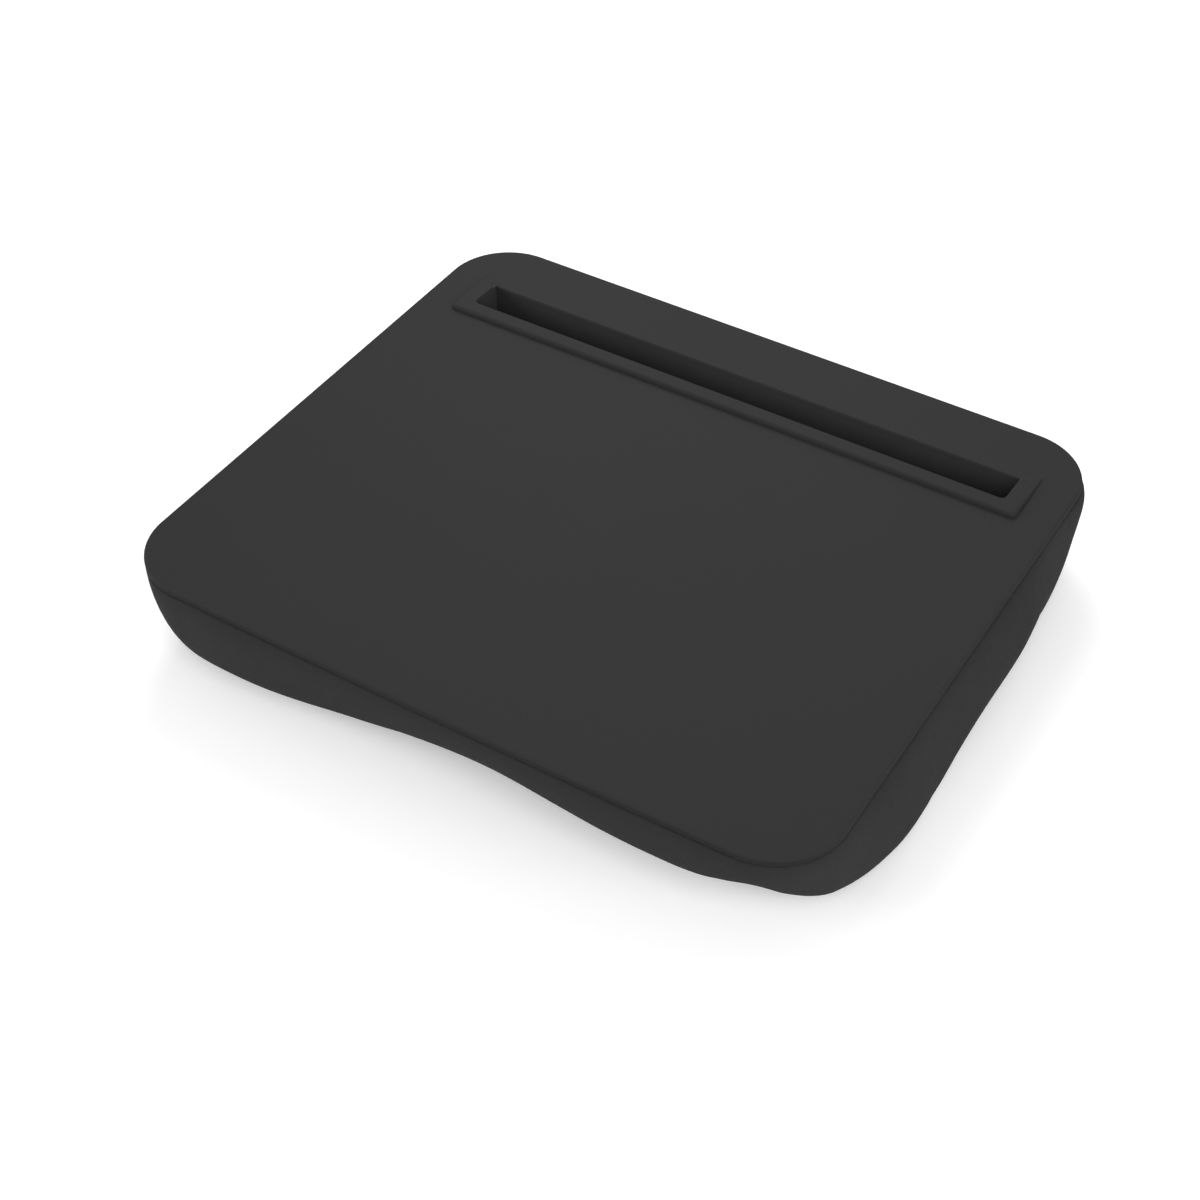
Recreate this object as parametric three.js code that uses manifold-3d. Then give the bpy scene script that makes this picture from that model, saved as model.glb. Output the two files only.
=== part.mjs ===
// Tablet cushion stand: a moulded tray board with a tablet slot, on a bead-filled cushion.
// Millimetres, +Z up. The origin is on the ground under the middle of the board,
// +X runs along the slot and -Y is the side nearest the user.

import * as THREE from 'three';
import { mergeVertices } from 'three/addons/utils/BufferGeometryUtils.js';
import Module from 'manifold-3d';

const wasm = await Module();
wasm.setup();

// Clearance between pieces that seat on or pass through each other
const fitGap = 0.3;

// Tray board
const boardWidth = 380;
const boardDepth = 329;
const boardCorner = 36;
const frontBow = 2; // the middle of the front edge stands this far past straight
const boardHeight = 61; // ground to the working surface
const plateWall = 3;
const rimDepth = 1; // the rim hangs this far below the plate
const skirtWall = 2.4;
const edgeRound = 1.5;
const rimRibWall = 2;
const stiffenerWall = 1.6;
const stiffenerDepth = 4;
const stiffenersAlong = 3; // left to right, between the front rim and the slot
const stiffenersAcross = 5; // front to back

// Tablet slot
const slotLength = 320;
const slotWidth = 21.5;
const slotDepth = 20; // working surface to the trough's floor
const slotSetback = 38.2; // back edge of the board to the back of the slot
const troughWall = 2;
const lipFront = 9.5; // width of the raised strip in front of the slot
const lipEnd = 10; // width of the raised strip at each end
const lipTail = 5; // the end strips run on behind the slot by this much
const lipHeight = 3; // height at the front
const lipTailHeight = 0.7; // height where the strips die out at the back
const lipCorner = 3;
const catchCount = 4;
const catchLength = 14;
const catchReach = 1.3;
const catchHeight = 3;

// Hem ring and its screws
const hemWidth = 8;
const frameWall = 2;
const frameSetIn = 1; // outer edge of the ring, inside the skirt's inner face
const screwRadius = 1.45;
const screwHeadRadius = 3;
const screwHeadHeight = 2;
const screwDomeRadius = 1.8; // flat middle of a screw head
const screwTip = 1.5;
const bossWall = 1.8;
const topSkin = 1.5; // plastic left above a screw hole
const screwsAlong = 3; // on the front and on the back
const screwsAside = 2; // on each side

// Cushion
const fabricWall = 1.2;
const liningWall = 1;
const baseCut = 0.5; // depth of the flat where the cushion rests
const facetRoom = 0.7; // the cover's facets lie up to this far inside its true curve
const earPower = 8; // a higher power keeps an ear closer to the seam
// Places round the edge: angle in degrees, inset of the base towards the middle, bulge of the side and,
// where a corner stands out just below the seam, the length of its ear. -90 is the middle of the front
// and 0 the middle of the right side; corners lie at 45 degrees.
const cushionPlaces = [
  { angle: -163, inset: 36, bulge: 2 },
  { angle: -148, inset: 52, bulge: 0.5 },
  { angle: -141, inset: 52, bulge: 0 },
  { angle: -134, inset: 34, bulge: 0 },
  { angle: -123, inset: 50, bulge: 7.5 },
  { angle: -107, inset: 65, bulge: 4.5 },
  { angle: -84, inset: 79, bulge: 0 },
  { angle: -67, inset: 105, bulge: 7 },
  { angle: -58, inset: 109, bulge: 7.5 },
  { angle: -53, inset: 110, bulge: 5.5 },
  { angle: -49, inset: 116, bulge: 0 },
  { angle: -44, inset: 65, bulge: 0.5 },
  { angle: -37, inset: 24, bulge: 6.5 },
  { angle: -28, inset: 8, bulge: 11 },
  { angle: -14, inset: 0, bulge: 8.5 },
  { angle: 3, inset: 18, bulge: 13 },
  { angle: 20, inset: 13, bulge: 11 },
  { angle: 34, inset: 3, bulge: 3 },
  { angle: 45, inset: 12, bulge: 0.5, ear: 3.5 },
  { angle: 63, inset: 36, bulge: 5 },
  { angle: 90, inset: 46, bulge: 3 },
  { angle: 117, inset: 36, bulge: 5 },
  { angle: 135, inset: 28, bulge: 3 },
  { angle: 146, inset: 17, bulge: 6 },
  { angle: 160, inset: 16, bulge: 10 },
  { angle: 177, inset: 22, bulge: 9 },
];

// Facets
const cushionSteps = { corner: 8, front: 12, side: 10, back: 10 };
const boardSteps = { corner: 10, front: 12, side: 1, back: 1 };
const edgeFacets = 4;
const lipFacets = 5;
const cushionLevels = 11;
const fillingLevels = 8;
const roundSides = 16;

// Heights
const plateBottom = boardHeight - plateWall;
const rimBottom = plateBottom - rimDepth;
const hemTop = rimBottom - fitGap;
const hemBottom = hemTop - fabricWall;
const frameTop = hemBottom - fitGap;
const frameBottom = frameTop - frameWall;
const bossBottom = frameTop + fitGap;
const liningTop = frameBottom - screwHeadHeight - 2 * fitGap;
const liningBottom = liningTop - liningWall;
const fillingTop = liningBottom - fitGap;
const fillingBottom = fabricWall + fitGap;
const troughFloor = boardHeight - slotDepth;
const troughBottom = troughFloor - troughWall;
const wellBottom = troughBottom - fitGap - liningWall;

// Places in plan
const halfWidth = boardWidth / 2;
const halfDepth = boardDepth / 2;
const bossRadius = screwRadius + fitGap + bossWall;
const bossInset = hemWidth + fitGap + bossRadius;
const rimRibInset = bossInset + bossRadius - rimRibWall / 2;
const rimInset = rimRibInset + rimRibWall;
const slotBack = halfDepth - slotSetback;
const slotFront = slotBack - slotWidth;
const halfSlot = slotLength / 2;
const troughHalf = halfSlot + troughWall;
const troughFront = slotFront - troughWall;
const troughBack = slotBack + troughWall;

// Working overlap for joins and cuts, and the distance at which points are one
const bite = 0.4;
const weld = 1e-4;

function clamp01(value) {
  return Math.min(Math.max(value, 0), 1);
}

// How far the front edge is bowed out at x, on an outline of this half width
function bowAt(x, half) {
  return frontBow * (1 - (x / half) ** 2);
}

// The board's outline moved in by an inset, anticlockwise from the front left,
// each point with the outward direction there
function edgeLoop(inset, steps) {
  const half = halfWidth - inset;
  const deep = halfDepth - inset;
  const round = Math.max(boardCorner - inset, bite);
  const loop = [];
  const run = (x0, y0, x1, y1, count, nx, ny) => {
    for (let i = 0; i < count; i++) {
      const f = i / count;
      loop.push({ x: x0 + (x1 - x0) * f, y: y0 + (y1 - y0) * f, nx, ny });
    }
  };
  const turn = (cx, cy, start) => {
    for (let i = 0; i < steps.corner; i++) {
      const a = start + (Math.PI / 2) * (i / steps.corner);
      const nx = Math.cos(a);
      const ny = Math.sin(a);
      loop.push({ x: cx + round * nx, y: cy + round * ny, nx, ny });
    }
  };
  const cx = half - round;
  const cy = deep - round;
  run(-cx, -deep, cx, -deep, steps.front, 0, -1);
  turn(cx, -cy, -Math.PI / 2);
  run(half, -cy, half, cy, steps.side, 1, 0);
  turn(cx, cy, 0);
  run(cx, deep, -cx, deep, steps.back, 0, 1);
  turn(-cx, cy, Math.PI / 2);
  run(-half, cy, -half, -cy, steps.side, -1, 0);
  turn(-cx, -cy, Math.PI);
  for (const p of loop) {
    p.y -= bowAt(p.x, half) * clamp01((-p.y - cy) / round);
  }
  return loop;
}

function flatRing(inset, z, steps) {
  return edgeLoop(inset, steps).map((p) => new THREE.Vector3(p.x, p.y, z));
}

// A closed skin through rings of equal count: a fan closes the first ring from below and the last
// from above, or the last ring joins the first where the skin is a hoop
function loft(rings, hoop = false) {
  const count = rings[0].length;
  const position = rings.flat().flatMap((p) => [p.x, p.y, p.z]);
  const index = [];
  const bands = hoop ? rings.length : rings.length - 1;
  for (let i = 0; i < bands; i++) {
    const low = i * count;
    const high = ((i + 1) % rings.length) * count;
    for (let j = 0; j < count; j++) {
      const k = (j + 1) % count;
      index.push(low + j, low + k, high + k, low + j, high + k, high + j);
    }
  }
  if (!hoop) {
    const last = (rings.length - 1) * count;
    const bottom = position.length / 3;
    const top = bottom + 1;
    position.push(0, 0, rings[0][0].z, 0, 0, rings.at(-1)[0].z);
    for (let j = 0; j < count; j++) {
      const k = (j + 1) % count;
      index.push(bottom, k, j, top, last + j, last + k);
    }
  }
  const geometry = new THREE.BufferGeometry();
  geometry.setAttribute('position', new THREE.Float32BufferAttribute(position, 3));
  geometry.setIndex(index);
  return geometry;
}

// Boolean joins and cuts
function solid(geometry) {
  const bare = geometry.clone();
  bare.deleteAttribute('normal');
  bare.deleteAttribute('uv');
  const merged = mergeVertices(bare, weld);
  return new wasm.Manifold(new wasm.Mesh({
    numProp: 3,
    vertProperties: new Float32Array(merged.attributes.position.array),
    triVerts: new Uint32Array(merged.index.array),
  }));
}

function geometryOf(body) {
  const mesh = body.getMesh();
  const geometry = new THREE.BufferGeometry();
  geometry.setAttribute('position', new THREE.BufferAttribute(mesh.vertProperties, 3));
  geometry.setIndex(new THREE.BufferAttribute(mesh.triVerts, 1));
  return geometry;
}

function block(x0, x1, y0, y1, z0, z1) {
  const geometry = new THREE.BoxGeometry(x1 - x0, y1 - y0, z1 - z0);
  geometry.translate((x0 + x1) / 2, (y0 + y1) / 2, (z0 + z1) / 2);
  return solid(geometry);
}

function post(x, y, z0, z1, radius) {
  const geometry = new THREE.CylinderGeometry(radius, radius, z1 - z0, roundSides);
  geometry.rotateX(Math.PI / 2);
  geometry.translate(x, y, (z0 + z1) / 2);
  return solid(geometry);
}

// A section drawn in the Y-Z plane and run along X from x0 to x1
function prism(points, x0, x1) {
  const shape = new THREE.Shape(points.map(([y, z]) => new THREE.Vector2(y, z)));
  const geometry = new THREE.ExtrudeGeometry(shape, { depth: x1 - x0, bevelEnabled: false });
  const turn = new THREE.Matrix4().makeBasis(
    new THREE.Vector3(0, 1, 0), new THREE.Vector3(0, 0, 1), new THREE.Vector3(1, 0, 0));
  geometry.applyMatrix4(turn);
  geometry.translate(x0, 0, 0);
  return solid(geometry);
}

// Screw places round the rim
function screwPlaces() {
  const half = halfWidth - bossInset;
  const deep = halfDepth - bossInset;
  const pitchAlong = (boardWidth - 2 * boardCorner) / screwsAlong;
  const pitchAside = (boardDepth - 2 * boardCorner) / screwsAside;
  const places = [];
  for (let i = 0; i < screwsAlong; i++) {
    const x = (i - (screwsAlong - 1) / 2) * pitchAlong;
    places.push([x, -deep - bowAt(x, half)], [x, deep]);
  }
  for (let i = 0; i < screwsAside; i++) {
    const y = (i - (screwsAside - 1) / 2) * pitchAside;
    places.push([-half, y], [half, y]);
  }
  return places;
}

// The board: plate, rolled edge, rim with its inner rib, stiffeners, bosses and the slot's cut-out
function makeBoard() {
  const rings = [
    [rimInset, plateBottom], [rimInset, bossBottom], [rimRibInset, bossBottom], [rimRibInset, plateBottom],
    [skirtWall, plateBottom], [skirtWall, rimBottom], [0, rimBottom],
  ];
  for (let i = 0; i <= edgeFacets; i++) {
    const a = (Math.PI / 2) * (i / edgeFacets);
    rings.push([edgeRound * (1 - Math.cos(a)), boardHeight - edgeRound * (1 - Math.sin(a))]);
  }
  let board = solid(loft(rings.map(([inset, z]) => flatRing(inset, z, boardSteps))));
  const reachX = halfWidth - rimInset + bite;
  const reachY = halfDepth - rimInset + bite;
  const ribLow = plateBottom - stiffenerDepth;
  const ribHigh = plateBottom + bite;
  const halfRib = stiffenerWall / 2;
  const ribList = [];
  for (let i = 1; i <= stiffenersAlong; i++) {
    const y = -reachY + (troughFront + reachY) * (i / (stiffenersAlong + 1));
    ribList.push(block(-reachX, reachX, y - halfRib, y + halfRib, ribLow, ribHigh));
  }
  for (let i = 1; i <= stiffenersAcross; i++) {
    const x = -reachX + 2 * reachX * (i / (stiffenersAcross + 1));
    ribList.push(block(x - halfRib, x + halfRib, -reachY - bowAt(x, reachX), reachY, ribLow, ribHigh));
  }
  const ribs = ribList.reduce((all, rib) => all.add(rib));
  const catchRoom = catchReach + catchHeight;
  const pocket = block(-troughHalf - catchRoom, troughHalf + catchRoom,
    troughFront - catchRoom, troughBack + catchRoom, ribLow - bite, plateBottom);
  board = board.add(ribs.subtract(pocket));
  for (const [x, y] of screwPlaces()) {
    board = board.add(post(x, y, bossBottom, plateBottom + bite, bossRadius));
    board = board.subtract(post(x, y, bossBottom - bite, boardHeight - topSkin, screwRadius + fitGap));
  }
  const cutHalf = troughHalf + fitGap;
  return geometryOf(board.subtract(
    block(-cutHalf, cutHalf, troughFront - fitGap, slotBack, ribLow, boardHeight + bite)));
}

// The trough: a box open on top, a wedge-shaped lip on its front and ends, and snap catches.
// Its back wall hooks under the board, whose edge is the back of the slot.
function makeTrough() {
  const lipBase = boardHeight + fitGap;
  const lipFrontEdge = slotFront - lipFront;
  const lipBackEdge = slotBack + lipTail;
  const lipHalf = halfSlot + lipEnd;
  const hookTop = plateBottom - fitGap;
  const wedge = prism([
    [lipFrontEdge, lipBase], [lipBackEdge, lipBase],
    [lipBackEdge, boardHeight + lipTailHeight], [lipFrontEdge, boardHeight + lipHeight],
  ], -lipHalf, lipHalf);
  const plan = new THREE.Shape();
  plan.moveTo(-lipHalf, lipBackEdge);
  plan.lineTo(-lipHalf, lipFrontEdge + lipCorner);
  plan.absarc(-lipHalf + lipCorner, lipFrontEdge + lipCorner, lipCorner, Math.PI, 1.5 * Math.PI);
  plan.lineTo(lipHalf - lipCorner, lipFrontEdge);
  plan.absarc(lipHalf - lipCorner, lipFrontEdge + lipCorner, lipCorner, 1.5 * Math.PI, 2 * Math.PI);
  plan.lineTo(lipHalf, lipBackEdge);
  const rounded = new THREE.ExtrudeGeometry(plan, {
    depth: lipHeight + 2 * bite, bevelEnabled: false, curveSegments: lipFacets,
  });
  rounded.translate(0, 0, boardHeight);
  const lip = wedge.intersect(solid(rounded));
  let trough = block(-troughHalf, troughHalf, troughFront, troughBack, troughBottom, lipBase + bite);
  trough = trough.subtract(block(-troughHalf - bite, troughHalf + bite,
    slotBack - fitGap, troughBack + bite, hookTop, lipBase + 2 * bite));
  trough = trough.add(lip);
  const pitch = slotLength / catchCount;
  for (let i = 0; i < catchCount; i++) {
    const x = (i - (catchCount - 1) / 2) * pitch;
    trough = trough.add(prism([
      [troughFront + bite, hookTop], [troughFront - catchReach, hookTop],
      [troughFront, hookTop - catchHeight], [troughFront + bite, hookTop - catchHeight],
    ], x - catchLength / 2, x + catchLength / 2));
  }
  const slotTop = boardHeight + lipHeight + bite;
  trough = trough.subtract(block(-halfSlot, halfSlot, slotFront, slotBack, troughFloor, slotTop));
  const behind = block(-halfSlot, halfSlot, slotBack - bite, lipBackEdge + bite, hookTop, slotTop);
  return geometryOf(trough.subtract(behind));
}

// Side of the cushion at one place of the edge, from the seam (t = 0) to the ground (t = 1): it swells
// out square to the edge, is drawn in towards the middle, and is moved in square to the cloth by depth
const sideDrop = hemTop + baseCut;
const groundT = (2 / Math.PI) * Math.asin(hemTop / sideDrop);

function cushionPlace(p) {
  const angle = THREE.MathUtils.radToDeg(Math.atan2(p.y / halfDepth, p.x / halfWidth));
  const shifted = (places, turn) => places.map((place) => ({ ...place, angle: place.angle + turn }));
  const ring = [
    ...shifted(cushionPlaces.slice(-2), -360), ...cushionPlaces, ...shifted(cushionPlaces.slice(0, 2), 360),
  ];
  const curve = new THREE.CubicInterpolant(
    ring.map((place) => place.angle),
    ring.flatMap((place) => [place.inset, place.bulge, place.ear ?? 0]), 3);
  const [inset, bulge, ear] = curve.evaluate(angle);
  const radius = Math.hypot(p.x, p.y);
  return { ...p, inX: p.x / radius, inY: p.y / radius, inset, bulge, ear };
}

const cushionEdge = edgeLoop(0, cushionSteps).map(cushionPlace);

function sidePoint(place, t, depth) {
  const quarter = Math.PI / 2;
  const earRise = place.ear * (earPower + 1) ** (earPower + 1) / earPower ** earPower;
  const swell = place.bulge * Math.sin(Math.PI * t) + earRise * t * (1 - t) ** earPower;
  const draw = place.inset * (1 - Math.cos(quarter * t));
  const slopeOut = place.bulge * Math.PI * Math.cos(Math.PI * t)
    + earRise * (1 - t) ** (earPower - 1) * (1 - (earPower + 1) * t)
    - place.inset * quarter * Math.sin(quarter * t) * (place.nx * place.inX + place.ny * place.inY);
  const slopeZ = -sideDrop * quarter * Math.cos(quarter * t);
  const length = Math.hypot(slopeOut, slopeZ);
  const reach = swell + depth * (slopeZ / length);
  return new THREE.Vector3(
    place.x + place.nx * reach - place.inX * draw,
    place.y + place.ny * reach - place.inY * draw,
    hemTop - sideDrop * Math.sin(quarter * t) - depth * (slopeOut / length));
}

// Where the moved-in side passes a height, found by halving
function sideT(place, z, depth) {
  const halvings = 40;
  let high = 0;
  let low = groundT;
  for (let i = 0; i < halvings; i++) {
    const middle = (high + low) / 2;
    if (sidePoint(place, middle, depth).z > z) {
      high = middle;
    } else {
      low = middle;
    }
  }
  return (high + low) / 2;
}

// Rings of the side from a start height down to the flat base
function sideRings(levels, startZ, baseZ, depth) {
  const starts = cushionEdge.map((place) => (depth === 0 ? 0 : sideT(place, startZ, depth)));
  const rings = [];
  for (let level = 0; level <= levels; level++) {
    const ring = cushionEdge.map((place, i) => (
      sidePoint(place, starts[i] + (groundT - starts[i]) * (level / levels), depth)));
    rings.push(ring);
  }
  for (const point of rings.at(-1)) {
    point.z = baseZ;
  }
  return rings;
}

// The cover: cloth from the flat base up the sides, turned in under the board's rim as a hem
function makeCover() {
  const outer = sideRings(cushionLevels, hemTop, 0, 0);
  const inner = sideRings(cushionLevels, hemBottom, fabricWall, fabricWall);
  const hem = [flatRing(hemWidth, hemTop, cushionSteps), flatRing(hemWidth, hemBottom, cushionSteps)];
  return loft([...outer.reverse(), ...hem, ...inner]);
}

function makeFrame() {
  const outside = skirtWall + frameSetIn;
  const inside = rimInset - bite - fitGap; // clear of the stiffeners' ends
  const rings = [
    [inside, frameBottom], [outside, frameBottom], [outside, frameTop], [inside, frameTop],
  ];
  let frame = solid(loft(rings.map(([inset, z]) => flatRing(inset, z, boardSteps)), true));
  for (const [x, y] of screwPlaces()) {
    frame = frame.subtract(post(x, y, frameBottom - bite, frameTop + bite, screwRadius + fitGap));
  }
  return geometryOf(frame);
}

// A pan head screw, driven up from below
function makeScrew() {
  const headTop = frameBottom - fitGap;
  const headBottom = headTop - screwHeadHeight;
  const tip = boardHeight - topSkin - fitGap;
  const profile = [
    [0, headBottom], [screwDomeRadius, headBottom], [screwHeadRadius, headTop - screwHeadHeight / 2],
    [screwHeadRadius, headTop], [screwRadius, headTop], [screwRadius, tip - screwTip], [0, tip],
  ];
  const screw = new THREE.LatheGeometry(profile.map(([r, z]) => new THREE.Vector2(r, z)), roundSides);
  return screw.rotateX(Math.PI / 2);
}

// The space the trough takes below the board, with room round it
function troughRoom(room, z0, z1) {
  return block(-troughHalf - room, troughHalf + room, troughFront - room, troughBack + room, z0, z1);
}

// Cloth that closes the cushion on top, with a well where the trough goes down into it
function makeLining() {
  const depth = fabricWall + fitGap + facetRoom;
  const sheetRing = (z) => cushionEdge.map((place) => sidePoint(place, sideT(place, z, depth), depth));
  let lining = solid(loft([sheetRing(liningBottom), sheetRing(liningTop)]));
  if (wellBottom < liningBottom) {
    lining = lining.add(troughRoom(fitGap + liningWall, wellBottom, liningTop));
    lining = lining.subtract(troughRoom(fitGap, wellBottom + liningWall, liningTop + bite));
  }
  return geometryOf(lining);
}

// The beads, pressed into a hollow under the well
function makeFilling() {
  const depth = fabricWall + fitGap + facetRoom;
  let filling = solid(loft(sideRings(fillingLevels, fillingTop, fillingBottom, depth).reverse()));
  if (wellBottom - fitGap < fillingTop) {
    const room = 2 * fitGap + liningWall;
    filling = filling.subtract(troughRoom(room, wellBottom - fitGap, fillingTop + bite));
  }
  return geometryOf(filling);
}

// Finishes
function finish(color, roughness, metalness = 0) {
  return new THREE.MeshStandardMaterial({ color, roughness, metalness, flatShading: true });
}

const boardFinish = finish('#39393a', 0.62);
const troughFinish = finish('#3a3a3b', 0.6);
const coverFinish = finish('#38383a', 0.92);
const frameFinish = finish('#2a2a2b', 0.6);
const liningFinish = finish('#2c2c2e', 0.95);
const beadFinish = finish('#e9e9e4', 0.85);
const screwFinish = finish('#8f9194', 0.35, 1);

const stand = new THREE.Group();

function addPiece(name, geometry, material) {
  const piece = new THREE.Mesh(geometry, material);
  piece.name = name;
  piece.geometry.computeVertexNormals();
  stand.add(piece);
  return piece;
}

addPiece('tray_board', makeBoard(), boardFinish);
addPiece('slot_trough', makeTrough(), troughFinish);
addPiece('cushion_cover', makeCover(), coverFinish);
addPiece('hem_frame', makeFrame(), frameFinish);
addPiece('cushion_lining', makeLining(), liningFinish);
addPiece('bead_filling', makeFilling(), beadFinish);
screwPlaces().forEach(([x, y], i) => {
  const number = String(i + 1).padStart(2, '0');
  addPiece(`frame_screw_${number}`, makeScrew(), screwFinish).position.set(x, y, 0);
});

export default stand;
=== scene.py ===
import math

import bmesh
import bpy
from mathutils import Matrix, Vector


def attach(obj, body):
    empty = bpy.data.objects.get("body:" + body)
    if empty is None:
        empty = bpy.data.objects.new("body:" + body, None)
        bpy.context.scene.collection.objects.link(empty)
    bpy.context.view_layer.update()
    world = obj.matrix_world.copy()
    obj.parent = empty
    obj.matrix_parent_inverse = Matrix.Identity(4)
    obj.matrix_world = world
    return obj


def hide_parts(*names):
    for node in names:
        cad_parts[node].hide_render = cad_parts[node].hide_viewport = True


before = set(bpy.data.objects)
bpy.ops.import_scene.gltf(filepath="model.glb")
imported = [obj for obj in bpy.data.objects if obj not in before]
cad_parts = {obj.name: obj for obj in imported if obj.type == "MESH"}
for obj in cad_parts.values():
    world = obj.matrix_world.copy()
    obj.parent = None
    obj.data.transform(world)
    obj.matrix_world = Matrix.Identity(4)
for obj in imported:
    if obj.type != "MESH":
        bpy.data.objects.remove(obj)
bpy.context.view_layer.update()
scene = bpy.context.scene
mm = 0.001  # sizes are in millimetres unless a note says otherwise
fitGap = 0.3  # clearance between pieces that seat on each other
bite = 0.4  # working overlap for joins and cuts
quarter = math.pi / 2
print("frame loaded, nodes:", len(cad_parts))


# Node trees: sums on sockets are written as Python sums
class Wire:
    def __init__(self, sheet, socket):
        self.sheet = sheet
        self.socket = socket

    def sum(self, operation, *values):
        return self.sheet.node("ShaderNodeMath", {"operation": operation}, dict(enumerate(values)))

    def __add__(self, other):
        return self.sum("ADD", self, other)

    def __radd__(self, other):
        return self.sum("ADD", other, self)

    def __sub__(self, other):
        return self.sum("SUBTRACT", self, other)

    def __rsub__(self, other):
        return self.sum("SUBTRACT", other, self)

    def __mul__(self, other):
        return self.sum("MULTIPLY", self, other)

    def __rmul__(self, other):
        return self.sum("MULTIPLY", other, self)

    def __truediv__(self, other):
        return self.sum("DIVIDE", self, other)

    def __mod__(self, other):
        return self.sum("FLOORED_MODULO", self, other)

    def __pow__(self, other):
        return self.sum("POWER", self, other)

    def __abs__(self):
        return self.sum("ABSOLUTE", self)

    def floor(self):
        return self.sum("FLOOR", self)

    def sine(self):
        return self.sum("SINE", self)


class NodeSheet:
    def __init__(self, tree):
        self.tree = tree

    def node(self, kind, settings=None, sockets=None, out=0):
        made = self.tree.nodes.new(kind)
        for key, value in (settings or {}).items():
            setattr(made, key, value)
        for key, value in (sockets or {}).items():
            if isinstance(value, Wire):
                self.tree.links.new(value.socket, made.inputs[key])
            else:
                made.inputs[key].default_value = value
        return Wire(self, made.outputs[out]) if made.outputs else None


class Finish(NodeSheet):
    def __init__(self, name):
        self.material = bpy.data.materials.new(name)
        self.material.use_nodes = True
        self.material.node_tree.nodes.clear()
        super().__init__(self.material.node_tree)

    def place(self):
        return self.node("ShaderNodeTexCoord", out="Object")

    def attribute(self, name):
        return self.node("ShaderNodeAttribute", {"attribute_name": name}, out="Fac")

    def noise(self, where, scale, detail, rough=0.5):
        return self.node("ShaderNodeTexNoise", None, {
            "Vector": where, "Scale": scale, "Detail": detail, "Roughness": rough})

    def mixColour(self, factor, low, high):
        return self.node(
            "ShaderNodeMix", {"data_type": "RGBA"}, {0: factor, 6: low, 7: high}, out=2)

    def bump(self, height, strength, depth):
        return self.node(
            "ShaderNodeBump", None, {"Height": height, "Strength": strength, "Distance": depth})

    def cover(self, sockets):
        shader = self.node("ShaderNodeBsdfPrincipled", None, sockets)
        self.node("ShaderNodeOutputMaterial", None, {"Surface": shader})
        return self.material


def tone(value, tint=(1, 1, 1)):
    return (value * tint[0], value * tint[1], value * tint[2], 1)


# Moulded plastic with a fine eroded grain, painted glints on the grain's tops and a little cloudiness.
# The attribute "edge" is above zero inside the slot, which gets painted light (paler, and a little
# smoother), and below zero at the seam, which gets painted shade (darker, and a little rougher).
plastics = {
    "boardPlastic": {
        "tone": 0.0246, "tint": (1, 1, 1.01), "cloud": 0.07, "slotLight": 0.35, "seam": 0.6,
        "rough": 0.68, "shine": 0.083, "grain": 1500, "grainDepth": 0.00005,
    },
    "troughPlastic": {
        "tone": 0.0246, "tint": (1, 1, 1.01), "cloud": 0.06, "slotLight": 0.72, "seam": 1,
        "rough": 0.68, "shine": 0.083, "grain": 1500, "grainDepth": 0.00005,
    },
    "ringPlastic": {
        "tone": 0.012, "tint": (1, 1, 1), "cloud": 0.1, "slotLight": 0, "seam": 1,
        "rough": 0.5, "shine": 0.4, "grain": 900, "grainDepth": 0.00003,
    },
}
plasticDetail = {
    "grainDetail": 2, "grainRough": 0.6, "cloudScale": 11, "cloudDetail": 4, "cloudRough": 0.55,
    "glint": 1.25, "glintFrom": 0.42, "glintGain": 0.9,  # painted glints: paler on the tops of the grain
    "paintedLeast": 0.4,  # share of the painted light and shade that shows where the clouds are thinnest
    "roughCloud": 0.12, "roughGrain": 0.08, "roughRub": 0.08, "bump": 0.5,
}


def mouldedPlastic(name):
    look = plastics[name]
    detail = plasticDetail
    finish = Finish(name)
    where = finish.place()
    grain = finish.noise(where, look["grain"], detail["grainDetail"], detail["grainRough"])
    cloud = finish.noise(where, detail["cloudScale"], detail["cloudDetail"], detail["cloudRough"])
    paintedLightAndShade = finish.attribute("edge")
    low = tone(look["tone"] * (1 - look["cloud"]), look["tint"])
    high = tone(look["tone"] * (1 + look["cloud"]), look["tint"])
    glint = tone(look["tone"] * detail["glint"], look["tint"])
    # painted light for the inside of the slot, and painted shade for the seam
    litTone = tone(look["tone"] * (1 + look["slotLight"]), look["tint"])
    shaded = tone(look["tone"] * look["seam"], look["tint"])
    base = finish.mixColour(cloud, low, high)
    # painted glints: paler on the tops of the grain
    base = finish.mixColour((grain - detail["glintFrom"]) * detail["glintGain"], base, glint)
    # painted light inside the slot, then painted shade at the seam
    base = finish.mixColour(paintedLightAndShade * (detail["paintedLeast"] + cloud * (1 - detail["paintedLeast"])), base, litTone)
    base = finish.mixColour(paintedLightAndShade * -1, base, shaded)
    rough = look["rough"] + (cloud - 0.5) * detail["roughCloud"] + (grain - 0.5) * detail["roughGrain"]
    return finish.cover({
        "Base Color": base,
        "Roughness": rough - paintedLightAndShade * detail["roughRub"],
        "Specular IOR Level": look["shine"],
        "Normal": finish.bump(grain, detail["bump"], look["grainDepth"]),
    })


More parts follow.
